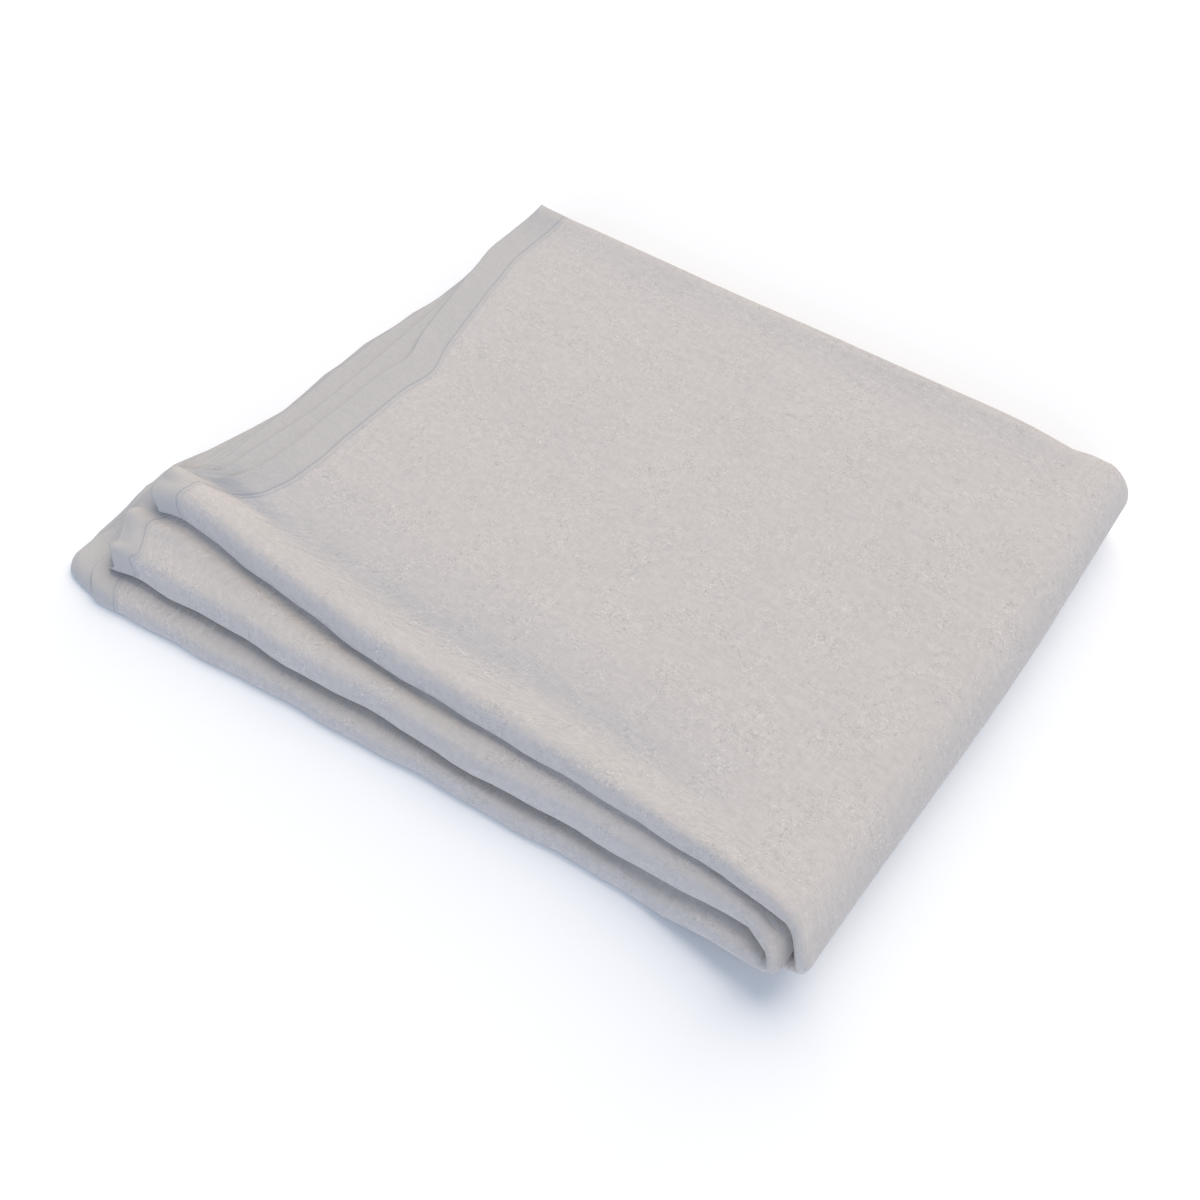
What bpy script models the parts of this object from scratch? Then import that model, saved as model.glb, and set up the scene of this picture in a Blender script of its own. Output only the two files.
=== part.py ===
"""Folded turban cloth: one long sheet of plain cotton, folded into a flat bundle.

The sheet is folded lengthwise into twelve plies that lie in two bundles, an outer one and
an inner one, and the pile is then folded once in half round a spine. Depth 0 is the
outermost ply and depth 11 the innermost. Plan axes while the shape is worked out: u runs
from the open hem side to the spine, v from the rolls at the front to the back edge.
Metres, +Z up, underside on Z = 0, origin in the middle of the footprint.
"""

import math

import bmesh
import bpy
import numpy as np

COLLECTION_NAME = "folded_turban_cloth"
NODE_NAME = "cloth"

WALL = 0.0013              # thickness of one ply
PITCH = 0.00175            # from one ply to the next in a bundle
BUNDLE_GAP = 0.0009        # extra room between two bundles
PLIES_PER_BUNDLE = 6
COTTON_COLOR = (0.604, 0.571, 0.558, 1.0)

SPINE_RADIUS = 0.023       # outside radius of the fold in half
SPINE_U = 0.514            # outermost line of the spine
SPINE_BOW = 0.009          # how far the spine falls back at its front end
SPINE_BOW_FROM = 0.240     # v at which the spine starts to fall back
SPINE_BOW_LIMIT = 1.3      # furthest share of that length over which the bow grows
SPINE_BLEND = 0.080        # length over which the pile closes behind the spine
CREASE_DEPTH = 0.004       # pinch of the inner roll where it turns round the spine
CREASE_TURN = 1.9          # place of the pinch, radians round the spine from the top
CREASE_WIDTH = 0.4         # half width of the pinch, radians

ROLL_DROP_LENGTH = 0.040   # length over which the rolls sink to the surface
ROLL_DROP_START = 0.005    # where that begins, behind the tip of the under roll
MIDDLE_ROLL_LIFT = 0.1     # share of the drop by which the middle roll's foot stays behind
MIDDLE_ROLL_PUFF = 0.45    # share of the drop by which its top stays behind
NOSE_DROOP = 0.25          # share of a roll's height by which its nose hangs
UNDER_ROLL_NOSE = 0.008    # length of the under roll's nose
BACK_ROLL_REACH = 0.008    # depth of the large fold at the back edge

CREST_HEIGHT = 0.0004      # how far the top roll stands proud of the panel
CREST_RISE_AT_HEM = 0.0030
CREST_PLACE = 0.9          # share of the top roll's nose from its tip to the crest
CREST_WIDTH = 0.015
VALLEY_DEPTH = 0.0016      # dip of the panel behind the top roll
VALLEY_LOSS_AT_HEM = 0.0010
VALLEY_BEHIND_CREST = 0.023
VALLEY_WIDTH = 0.016
HEM_END_U = 0.020          # u up to which the top roll is fully puffed
HEM_END_LENGTH = 0.130     # length over which that dies away

BUNDLE = PLIES_PER_BUNDLE * PITCH
CORE_RADIUS = SPINE_RADIUS - 2 * BUNDLE - BUNDLE_GAP
LAST_OUTER_DEPTH = PLIES_PER_BUNDLE - 1
LAST_DEPTH = 2 * PLIES_PER_BUNDLE - 1
SMALLEST_FOLD = 0.5        # radius in plies of a fold between neighbouring plies
LARGEST_FOLD = LAST_OUTER_DEPTH / 2
SMALLEST_FRONT_REACH = 0.8 * PITCH
SMALLEST_BACK_REACH = 0.5 * PITCH

# Depth of each ply in turn along the length, from one end of the sheet to the other.
# Plies are joined by folds at the front and the back by turns, starting at the front.
PLY_ORDER = (11, 6, 5, 0, 1, 4, 7, 10, 9, 8, 3, 2)

# Plan of the rolls, one row for each section across the pile.
# u, then v of the tips of the top, middle, bottom and under rolls, then the length of the
# noses of the top, middle and bottom rolls, then v of the back edge.
SECTION_COLUMNS = ("u", "top", "middle", "bottom", "under",
                   "nose_top", "nose_middle", "nose_bottom", "back")
SECTIONS = (
    (-0.040, -0.016, -0.062, -0.079, -0.012, 0.018, 0.024, 0.014, 0.3880),
    (-0.018, -0.016, -0.061, -0.084, -0.008, 0.018, 0.024, 0.014, 0.3885),
    (0.015, -0.015, -0.057, -0.083, -0.002, 0.019, 0.024, 0.015, 0.3890),
    (0.060, -0.013, -0.050, -0.073, 0.004, 0.021, 0.025, 0.015, 0.3905),
    (0.100, -0.012, -0.046, -0.066, 0.008, 0.023, 0.026, 0.015, 0.3920),
    (0.170, -0.011, -0.038, -0.054, 0.014, 0.024, 0.026, 0.015, 0.3938),
    (0.240, -0.007, -0.027, -0.044, 0.018, 0.025, 0.024, 0.014, 0.3960),
    (0.300, -0.001, -0.020, -0.035, 0.020, 0.025, 0.022, 0.014, 0.3980),
    (0.370, 0.006, -0.011, -0.027, 0.018, 0.024, 0.020, 0.013, 0.4005),
    (0.440, 0.012, -0.004, -0.020, 0.009, 0.016, 0.014, 0.010, 0.4020),
    (0.480, 0.005, -0.010, -0.019, -0.004, 0.011, 0.010, 0.009, 0.4040),
    (0.515, -0.006, -0.017, -0.020, -0.012, 0.009, 0.008, 0.008, 0.4030),
)

# The open hem side: u of the hem edge of some plies, one row for each place v along it.
# Plies between two of these depths lie evenly between them.
UPPER_HEM_DEPTHS = (0, 1, 2, 5, 6, 11)
UPPER_HEMS = (
    (-0.070, 0.000, 0.002, 0.004, 0.004, 0.006, -0.010),
    (-0.058, 0.000, 0.002, 0.004, 0.004, 0.003, -0.008),
    (-0.048, 0.000, 0.002, 0.004, 0.003, -0.004, -0.012),
    (-0.036, -0.001, 0.001, 0.004, 0.001, -0.010, -0.020),
    (-0.025, -0.002, 0.000, 0.003, -0.002, -0.018, -0.025),
    (-0.015, -0.004, -0.002, 0.001, -0.006, -0.018, -0.027),
    (-0.007, -0.010, -0.008, -0.005, -0.013, -0.019, -0.028),
    (0.005, -0.013, -0.011, -0.008, -0.015, -0.020, -0.029),
    (0.014, -0.012, -0.010, -0.007, -0.013, -0.020, -0.028),
    (0.024, 0.020, 0.014, 0.005, -0.008, -0.015, -0.025),
    (0.056, 0.038, 0.022, 0.008, -0.005, -0.008, -0.016),
    (0.095, 0.040, 0.023, 0.008, 0.001, -0.001, -0.009),
    (0.140, 0.040, 0.023, 0.005, -0.002, -0.005, -0.012),
    (0.190, 0.038, 0.021, 0.004, -0.002, -0.004, -0.012),
    (0.228, 0.025, 0.015, 0.007, 0.000, -0.002, -0.010),
    (0.256, 0.015, 0.008, 0.009, 0.002, 0.000, -0.008),
    (0.285, 0.000, -0.001, 0.000, -0.005, -0.008, -0.014),
    (0.330, -0.003, -0.003, -0.004, -0.009, -0.012, -0.020),
    (0.410, -0.005, -0.005, -0.006, -0.011, -0.014, -0.022),
)
LOWER_HEM_DEPTHS = (0, 6, 11)
LOWER_HEMS = (
    (-0.082, -0.010, -0.010, 0.004),
    (-0.076, -0.010, -0.031, -0.008),
    (-0.066, -0.012, -0.035, -0.014),
    (-0.052, -0.014, -0.038, -0.018),
    (-0.036, -0.018, -0.040, -0.021),
    (-0.015, -0.022, -0.042, -0.024),
    (0.005, -0.025, -0.043, -0.027),
    (0.024, -0.026, -0.038, -0.026),
    (0.056, -0.024, -0.031, -0.020),
    (0.095, -0.018, -0.023, -0.013),
    (0.140, -0.020, -0.025, -0.017),
    (0.190, -0.022, -0.026, -0.017),
    (0.256, -0.018, -0.022, -0.012),
    (0.285, -0.022, -0.027, -0.017),
    (0.330, -0.028, -0.033, -0.024),
    (0.410, -0.032, -0.036, -0.027),
)

# Distance by which the back end of each ply lies inside the back edge, by depth.
BACK_SETBACK = (0.0, 0.0, 0.009, 0.003, 0.003, 0.003, 0.003, 0.003, 0.003, 0.005, 0.005, 0.010)
# Reach of the largest back fold that the ply belongs to, by depth.
BACK_FOLD_REACH = (SMALLEST_BACK_REACH,) * 3 + (BACK_ROLL_REACH,) * 6 + (SMALLEST_BACK_REACH,) * 3

# Places of the mesh lines. Along a ply, as shares of its length from the front fold;
# across the sheet, as shares of each half from the hem to the spine.
OUTER_PLY_STATIONS = (0.0, 0.05, 0.12, 0.32, 0.56, 0.74, 1.0)
INNER_FRONT_STATIONS = (0.0, 0.35, 0.7)
INNER_PLY_STATIONS = (0.0, 0.12, 0.32, 0.56, 0.74, 1.0)
ACROSS_STATIONS = (0.0, 0.05, 0.14, 0.31, 0.56, 0.82, 1.0)
SPINE_SEGMENTS = 7
FOLD_SEGMENTS = {2.5: 6, 1.5: 5, 0.5: 4}   # by the radius of the fold in plies


def smooth(x):
    """Ease from 0 to 1."""
    x = np.clip(x, 0.0, 1.0)
    return x * x * (3.0 - 2.0 * x)


def mix(a, b, share):
    """Straight mix of a and b."""
    return a + (b - a) * share


def hump(x, centre, width):
    """Bell curve of height 1."""
    return np.exp(-((x - centre) / width) ** 2)


def table_value(x, rows, column):
    """Smooth curve through one column of a table, against its first column."""
    table = np.array(rows)
    xs = table[:, 0]
    ys = table[:, column]
    slopes = np.gradient(ys, xs)
    i = np.clip(np.searchsorted(xs, x) - 1, 0, len(xs) - 2)
    step = xs[i + 1] - xs[i]
    f = np.clip((x - xs[i]) / step, 0.0, 1.0)
    start = (1 + 2 * f) * (1 - f) ** 2 * ys[i] + f * (1 - f) ** 2 * step * slopes[i]
    end = f * f * (3 - 2 * f) * ys[i + 1] + f * f * (f - 1) * step * slopes[i + 1]
    return start + end


def section(u, name):
    """One column of the plan of the rolls."""
    return table_value(u, SECTIONS, SECTION_COLUMNS.index(name))


def hem_edge(depth, v, rows, depths):
    """Hem edge of a ply at v: each listed depth's edge, weighted by its nearness."""
    edge = np.zeros(np.broadcast(depth, v).shape)
    for column in range(len(depths)):
        nearness = np.interp(depth, depths, np.eye(len(depths))[column])
        edge = edge + nearness * table_value(v, rows, column + 1)
    return edge


def ply_stations(depth):
    """Mesh lines of one ply, front to back: share of its length, and place between the rolls."""
    if depth <= LAST_OUTER_DEPTH:
        return [(along, 1.0) for along in OUTER_PLY_STATIONS]
    front = [(0.0, forward) for forward in INNER_FRONT_STATIONS]
    return front + [(along, 1.0) for along in INNER_PLY_STATIONS]


def fold_stations(depth, following, at_front):
    """Mesh lines of the fold from one ply to the following one, in the route's columns."""
    size = abs(following - depth) / 2
    segments = FOLD_SEGMENTS[size]
    along = 0.0 if at_front else 1.0
    forward = 0.0 if at_front and depth > LAST_OUTER_DEPTH else 1.0
    end = -1.0 if at_front else 1.0
    rows = []
    for k in range(1, segments):
        turn = math.pi * k / segments
        place = mix(depth, following, (1 - math.cos(turn)) / 2)
        rows.append((place, along, forward, math.sin(turn), size, end))
    return rows


def route_along_length():
    """The folded route of the sheet, one entry for each mesh line along its length.

    depth: place in the pile; along: 0 at the front fold to 1 at the back; forward: 0 to 1
    from the inner roll's centre to the outer roll's; swing: sine of the turn in a fold;
    size: radius of that fold in plies; end: -1 in a front fold, 1 in a back fold.
    """
    names = ("depth", "along", "forward", "swing", "size", "end")
    rows = []
    for number, depth in enumerate(PLY_ORDER):
        to_front = number % 2 == 0
        stations = ply_stations(depth)
        if to_front:
            stations.reverse()
        rows += [(depth, along, forward, 0.0, SMALLEST_FOLD, 0.0) for along, forward in stations]
        if number < LAST_DEPTH:
            rows += fold_stations(depth, PLY_ORDER[number + 1], to_front)
    columns = [np.array(column)[:, None] for column in zip(*rows)]
    return dict(zip(names, columns))


def stations_across():
    """Place across the sheet: -1 to 0 upper half, 0 to 1 round the spine, 1 to 2 lower half."""
    half = np.array(ACROSS_STATIONS)
    turn = np.linspace(0.0, 1.0, SPINE_SEGMENTS + 1)[1:-1]
    return np.concatenate([half - 1.0, turn, 2.0 - half[::-1]])[None, :]


def rolls_at(u, turn, inner):
    """Tips and noses of the outer rolls and of the inner ones, and those of each point's own."""
    turned = (1 - np.cos(turn)) / 2
    outer_tip = mix(section(u, "top"), section(u, "under"), turned)
    outer_nose = mix(section(u, "nose_top"), UNDER_ROLL_NOSE, turned)
    inner_tip = mix(section(u, "middle"), section(u, "bottom"), turned)
    inner_tip = inner_tip + CREASE_DEPTH * hump(turn, CREASE_TURN, CREASE_WIDTH)
    inner_nose = mix(section(u, "nose_middle"), section(u, "nose_bottom"), turned)
    outer_centre = outer_tip + outer_nose
    inner_centre = inner_tip + inner_nose
    own_centre = np.where(inner, inner_centre, outer_centre)
    own_nose = np.where(inner, inner_nose, outer_nose)
    return outer_centre, inner_centre, own_centre, own_nose


def place_along(route, u, turn, inner):
    """v of each point at its u: between the roll's centre and the back edge, or in a fold."""
    outer_centre, inner_centre, _, own_nose = rolls_at(u, turn, inner)
    depths = np.arange(LAST_DEPTH + 1)
    back = section(u, "back") - np.interp(route["depth"], depths, BACK_SETBACK)
    back = back - np.interp(route["depth"], depths, BACK_FOLD_REACH)
    share = (route["size"] - SMALLEST_FOLD) / (LARGEST_FOLD - SMALLEST_FOLD)
    front_reach = mix(SMALLEST_FRONT_REACH, own_nose, share)
    back_reach = mix(SMALLEST_BACK_REACH, BACK_ROLL_REACH, share)
    front = mix(inner_centre, outer_centre, route["forward"])
    reach = np.where(route["end"] < 0, -front_reach, back_reach)
    return mix(front, back, route["along"]) + reach * route["swing"]


def place_across(route, across, v, turn):
    """u of each point at its v, and u of the spine's axis there."""
    depth = route["depth"]
    bow = SPINE_BOW * np.clip(1 - v / SPINE_BOW_FROM, 0, SPINE_BOW_LIMIT) ** 2
    axis = SPINE_U - SPINE_RADIUS - bow
    upper = mix(axis, hem_edge(depth, v, UPPER_HEMS, UPPER_HEM_DEPTHS), np.clip(-across, 0, 1))
    lower = mix(axis, hem_edge(depth, v, LOWER_HEMS, LOWER_HEM_DEPTHS), np.clip(across - 1, 0, 1))
    round_spine = axis + spine_radius(depth) * np.sin(turn)
    return np.where(across < 0, upper, np.where(across > 1, lower, round_spine)), axis


def spine_radius(depth):
    """Radius of a ply round the spine's axis."""
    return SPINE_RADIUS - (depth + 0.5) * PITCH - BUNDLE_GAP * smooth(depth - LAST_OUTER_DEPTH)


def bundle_levels(u, v, axis):
    """Heights at which the bundles meet, by name, and how near each point is to the spine.

    In front of the under roll the others sink to the surface, the bottom roll fully and the
    middle roll by half, so the middle roll is puffed. The panel has a crest along the top
    roll and a valley behind it.
    """
    near_spine = smooth((u - axis) / SPINE_BLEND + 1)
    middle_gap = mix(BUNDLE_GAP, 2 * CORE_RADIUS, near_spine)
    sunk = smooth((section(u, "under") + ROLL_DROP_START - v) / ROLL_DROP_LENGTH)
    drop = (BUNDLE + BUNDLE_GAP) * sunk * (1 - near_spine)
    near_hem = 1 - smooth((u - HEM_END_U) / HEM_END_LENGTH)
    crest_v = section(u, "top") + CREST_PLACE * section(u, "nose_top")
    crest = (CREST_HEIGHT + CREST_RISE_AT_HEM * near_hem) * hump(v, crest_v, CREST_WIDTH)
    valley_depth = VALLEY_DEPTH - VALLEY_LOSS_AT_HEM * near_hem
    valley = valley_depth * hump(v, crest_v + VALLEY_BEHIND_CREST, VALLEY_WIDTH)
    bottom_top = 2 * BUNDLE + BUNDLE_GAP - drop
    middle_foot = bottom_top + middle_gap
    pile_top = middle_foot + drop + 2 * BUNDLE + BUNDLE_GAP
    return {
        "under_top": BUNDLE - drop,
        "bottom_foot": BUNDLE - drop + BUNDLE_GAP,
        "bottom_top": bottom_top,
        "middle_foot": middle_foot + MIDDLE_ROLL_LIFT * drop,
        "middle_top": middle_foot + BUNDLE + MIDDLE_ROLL_PUFF * drop,
        "pile_top": pile_top + (1 - near_spine) * (crest - valley),
        "near_spine": near_spine,
    }


def height_in_half(depth, outside, outer_inside, inner_outside, inside):
    """Height of a ply between the faces of the outer and the inner bundle of one half."""
    outer = mix(outside, outer_inside, (depth + 0.5) / PLIES_PER_BUNDLE)
    inner = mix(inner_outside, inside, (depth + 0.5) / PLIES_PER_BUNDLE - 1)
    half_ply = 0.5 / PLIES_PER_BUNDLE
    last_outer = mix(outer_inside, outside, half_ply)
    first_inner = mix(inner_outside, inside, half_ply)
    between = mix(last_outer, first_inner, depth - LAST_OUTER_DEPTH)
    in_outer = depth <= LAST_OUTER_DEPTH
    return np.where(in_outer, outer, np.where(depth >= PLIES_PER_BUNDLE, inner, between))


def heights(route, across, u, v, axis, turn, inner):
    """z of each point; the noses of the rolls hang a little."""
    depth = route["depth"]
    level = bundle_levels(u, v, axis)
    upper = height_in_half(depth, level["pile_top"], level["middle_top"] + BUNDLE_GAP,
                           level["middle_top"], level["middle_foot"])
    lower = height_in_half(depth, 0.0, level["under_top"], level["bottom_foot"], level["bottom_top"])
    _, _, own_centre, own_nose = rolls_at(u, turn, inner)
    past_centre = np.clip((own_centre - v) / own_nose, 0, 1) ** 2
    hang = NOSE_DROOP * past_centre * (1 - level["near_spine"])
    middle_height = level["middle_top"] - level["middle_foot"]
    top_height = level["pile_top"] - level["middle_top"]
    bottom_height = level["bottom_top"] - level["bottom_foot"]
    upper = upper - np.where(inner, middle_height, top_height) * hang
    lower = lower - np.where(inner, bottom_height, 0.0) * hang
    round_spine = SPINE_RADIUS + spine_radius(depth) * np.cos(turn)
    return np.where(across < 0, upper, np.where(across > 1, lower, round_spine))


def cloth_points():
    """Middle surface of the folded sheet as a grid of points (along, across, xyz).

    u and v depend on each other only weakly, so the second pass settles them.
    """
    route = route_along_length()
    across = stations_across()
    turn = math.pi * np.clip(across, 0, 1)
    inner = route["depth"] > (LAST_OUTER_DEPTH + PLIES_PER_BUNDLE) / 2
    from_spine = np.clip(-across, 0, 1) + np.clip(across - 1, 0, 1)
    u = (SPINE_U - SPINE_RADIUS) * (1 - from_spine) + SPINE_RADIUS / 2 * np.sin(turn)
    for _ in range(2):
        v = place_along(route, u, turn, inner)
        u, axis = place_across(route, across, v, turn)
    z = heights(route, across, u, v, axis, turn, inner)
    return np.stack([u, v, z], axis=-1)


def on_its_footprint(points):
    """Move the sheet so that its box stands on Z = 0 with the origin in the middle."""
    low = points.min(axis=(0, 1))
    high = points.max(axis=(0, 1))
    foot = np.array([(low[0] + high[0]) / 2, (low[1] + high[1]) / 2, low[2] - WALL / 2])
    return points - foot


def cotton_material():
    """Pale grey, matt, plain woven cotton."""
    material = bpy.data.materials.new("pale_grey_cotton")
    material.use_nodes = True
    shader = material.node_tree.nodes["Principled BSDF"]
    shader.inputs["Base Color"].default_value = COTTON_COLOR
    shader.inputs["Roughness"].default_value = 0.9
    shader.inputs["Metallic"].default_value = 0.0
    return material


def split_alike(shape):
    """Split each four-sided face from its corner nearest the front of the hem side.

    All plies are split the same way, so that neighbouring plies stay parallel.
    """
    for face in list(shape.faces):
        corners = list(face.verts)
        first = min(range(4), key=lambda k: corners[k].co.x + corners[k].co.y)
        bmesh.utils.face_split(face, corners[first], corners[(first + 2) % 4])


def cloth_object(points, material):
    """The sheet as an open grid laid along its folded route, given its thickness by Solidify."""
    along_count, across_count = points.shape[:2]
    shape = bmesh.new()
    bmesh.ops.create_grid(shape, x_segments=across_count - 1, y_segments=along_count - 1, size=0.5)
    shape.verts.ensure_lookup_table()
    flat = points.reshape(-1, 3)
    for vertex in shape.verts:
        vertex.co = flat[vertex.index]
    split_alike(shape)
    mesh = bpy.data.meshes.new(NODE_NAME)
    shape.to_mesh(mesh)
    shape.free()
    mesh.materials.append(material)
    mesh.shade_smooth()
    cloth = bpy.data.objects.new(NODE_NAME, mesh)
    wall = cloth.modifiers.new("wall", "SOLIDIFY")
    wall.thickness = WALL
    wall.offset = 0.0
    wall.use_even_offset = False
    return cloth


def main():
    """Clear the scene and build the cloth in a collection of its own."""
    for thing in list(bpy.data.objects):
        bpy.data.objects.remove(thing, do_unlink=True)
    collection = bpy.data.collections.new(COLLECTION_NAME)
    bpy.context.scene.collection.children.link(collection)
    points = on_its_footprint(cloth_points())
    collection.objects.link(cloth_object(points, cotton_material()))


main()
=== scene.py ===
"""Folded turban cloth: a long length of plain cotton, folded into a flat bundle.

The cloth is one sheet. It is folded lengthwise into twelve plies, which lie as an outer and an
inner bundle of six, and the pile is then folded once in half round a spine. The shape is a
function of two parameters: the place along the sheet's length, which runs to and fro through
the plies, and the place across its width, which runs from one hem round the spine to the other.

Plan axes: u from the open hem side to the spine, v from the rolls at the front to the back
edge, both in metres. The frame's origin is the middle of the footprint on the surface.
"""

import logging
from dataclasses import dataclass, field
from enum import Enum
from typing import Any

import bpy
import numpy as np
from mathutils import Matrix, Vector


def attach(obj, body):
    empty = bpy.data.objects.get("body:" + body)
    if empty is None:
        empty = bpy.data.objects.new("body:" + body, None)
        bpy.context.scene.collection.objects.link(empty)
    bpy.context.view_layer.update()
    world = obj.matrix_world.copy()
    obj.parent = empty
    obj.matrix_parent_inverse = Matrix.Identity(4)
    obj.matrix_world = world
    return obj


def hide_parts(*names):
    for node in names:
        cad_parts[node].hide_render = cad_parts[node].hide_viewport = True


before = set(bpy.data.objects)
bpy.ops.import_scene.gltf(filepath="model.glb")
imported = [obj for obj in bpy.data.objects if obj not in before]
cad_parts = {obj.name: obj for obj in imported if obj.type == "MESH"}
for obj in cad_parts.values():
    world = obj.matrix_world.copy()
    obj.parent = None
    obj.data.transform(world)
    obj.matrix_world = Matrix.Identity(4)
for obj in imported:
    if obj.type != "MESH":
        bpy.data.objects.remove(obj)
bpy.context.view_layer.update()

Array = np.ndarray
LOG = logging.getLogger("folded_turban_cloth")
PLAN_ORIGIN = (0.23477, 0.15967)
MM = 0.001


# Small mathematics


def smooth(x: Array) -> Array:
    """Ease from 0 to 1: 3x^2 - 2x^3 between 0 and 1."""
    x = np.clip(x, 0.0, 1.0)
    return x * x * (3.0 - 2.0 * x)


def mix(a: Array, b: Array, share: Array) -> Array:
    """Straight mix: a + (b - a) times share."""
    return a + (b - a) * share


def hump(x: Array, centre: Array, width: float) -> Array:
    """Bell curve of height 1: e to the minus square of the distance in widths."""
    return np.exp(-(((x - centre) / width) ** 2))


def wave(x: Array, length: float, phase: Array) -> Array:
    """Sine wave of the given length."""
    return np.sin(2.0 * np.pi * x / length + phase)


def unit(vectors: Array) -> Array:
    """Vectors scaled to length 1 along the last axis."""
    return vectors / np.maximum(np.linalg.norm(vectors, axis=-1, keepdims=True), 1e-12)


def running_length(points: Array) -> Array:
    """Length of a polyline of points (n, 3) up to each of its points."""
    steps = np.linalg.norm(np.diff(points, axis=0), axis=-1)
    return np.concatenate([[0.0], np.cumsum(steps)])


@dataclass(frozen=True)
class SmoothTable:
    """A short table whose named columns are smooth curves over its first column.

    Between two rows a curve is the cubic with the rows' values and the mean slopes there.
    """

    columns: tuple[str, ...]
    rows: tuple[tuple[float, ...], ...]

    def at(self, x: Array, name: str) -> Array:
        """Values of one column.

        Args:
            x: Places along the first column, of any shape.
            name: The column's name.

        Returns:
            The column's curve at x; outside the table it keeps its end values.
        """
        table = np.array(self.rows)
        xs = table[:, 0]
        ys = table[:, self.columns.index(name)]
        slopes = np.gradient(ys, xs)
        i = np.clip(np.searchsorted(xs, x) - 1, 0, len(xs) - 2)
        step = xs[i + 1] - xs[i]
        f = np.clip((x - xs[i]) / step, 0.0, 1.0)
        start = (1 + 2 * f) * (1 - f) ** 2 * ys[i] + f * (1 - f) ** 2 * step * slopes[i]
        end = f * f * (3 - 2 * f) * ys[i + 1] + f * f * (f - 1) * step * slopes[i + 1]
        return start + end


# Plan of the bundle


class Half(Enum):
    """The halves of the bundle above and below its fold round the spine."""

    UPPER = "upper"
    LOWER = "lower"


# v of the tips of the rolls, the lengths of their noses, v of the back edge and of the crease
# behind the top roll, and the depth of the dent under the top roll's lip.
ROLL_PLAN = SmoothTable(
    ("u", "top", "middle", "bottom", "under", "nose_top", "nose_middle", "nose_bottom", "back",
     "crease", "dent"),
    (
        (-0.045, -0.0180, -0.0620, -0.0720, -0.0120, 0.0150, 0.0180, 0.0120, 0.3878, 0.0165, 0.0056),
        (-0.036, -0.0180, -0.0620, -0.0770, -0.0120, 0.0150, 0.0180, 0.0120, 0.3878, 0.0165, 0.0056),
        (-0.026, -0.0183, -0.0628, -0.0815, -0.0100, 0.0150, 0.0180, 0.0120, 0.3881, 0.0165, 0.0056),
        (-0.016, -0.0185, -0.0635, -0.0828, -0.0080, 0.0150, 0.0180, 0.0120, 0.3883, 0.0165, 0.0056),
        (0.000, -0.0170, -0.0640, -0.0830, -0.0050, 0.0145, 0.0175, 0.0115, 0.3886, 0.0165, 0.0056),
        (0.015, -0.0135, -0.0600, -0.0824, -0.0020, 0.0135, 0.0160, 0.0110, 0.3888, 0.0172, 0.0056),
        (0.060, -0.0112, -0.0535, -0.0748, 0.0040, 0.0118, 0.0130, 0.0095, 0.3900, 0.0190, 0.0056),
        (0.100, -0.0115, -0.0480, -0.0680, 0.0080, 0.0120, 0.0130, 0.0093, 0.3906, 0.0165, 0.0052),
        (0.170, -0.0113, -0.0400, -0.0566, 0.0140, 0.0125, 0.0130, 0.0093, 0.3927, 0.0165, 0.0045),
        (0.240, -0.0080, -0.0298, -0.0455, 0.0180, 0.0130, 0.0120, 0.0087, 0.3956, 0.0190, 0.0030),
        (0.300, -0.0018, -0.0245, -0.0365, 0.0200, 0.0130, 0.0110, 0.0087, 0.3976, 0.0240, 0.0018),
        (0.370, 0.0030, -0.0128, -0.0262, 0.0180, 0.0114, 0.0090, 0.0081, 0.4002, 0.0280, 0.0012),
        (0.410, 0.0063, -0.0097, -0.0213, 0.0140, 0.0094, 0.0075, 0.0068, 0.4012, 0.0280, 0.0008),
        (0.440, 0.0068, -0.0070, -0.0182, 0.0070, 0.0078, 0.0075, 0.0065, 0.4008, 0.0270, 0.0006),
        (0.461, 0.0060, -0.0045, -0.0172, -0.0010, 0.0075, 0.0075, 0.0065, 0.3995, 0.0250, 0.0003),
        (0.473, 0.0050, -0.0037, -0.0166, -0.0050, 0.0075, 0.0075, 0.0065, 0.3990, 0.0240, 0.0002),
        (0.481, 0.0042, -0.0095, -0.0160, -0.0070, 0.0075, 0.0075, 0.0065, 0.4034, 0.0230, 0.0000),
        (0.488, 0.0020, -0.0175, -0.0155, -0.0065, 0.0075, 0.0075, 0.0065, 0.4031, 0.0220, 0.0000),
        (0.495, -0.0045, -0.0190, -0.0150, -0.0045, 0.0075, 0.0075, 0.0065, 0.4018, 0.0200, 0.0000),
        (0.501, -0.0108, -0.0200, -0.0150, -0.0030, 0.0075, 0.0075, 0.0065, 0.3998, 0.0200, 0.0000),
        (0.515, -0.0110, -0.0200, -0.0150, -0.0030, 0.0075, 0.0075, 0.0065, 0.3958, 0.0200, 0.0000),
    ),
)

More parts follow.
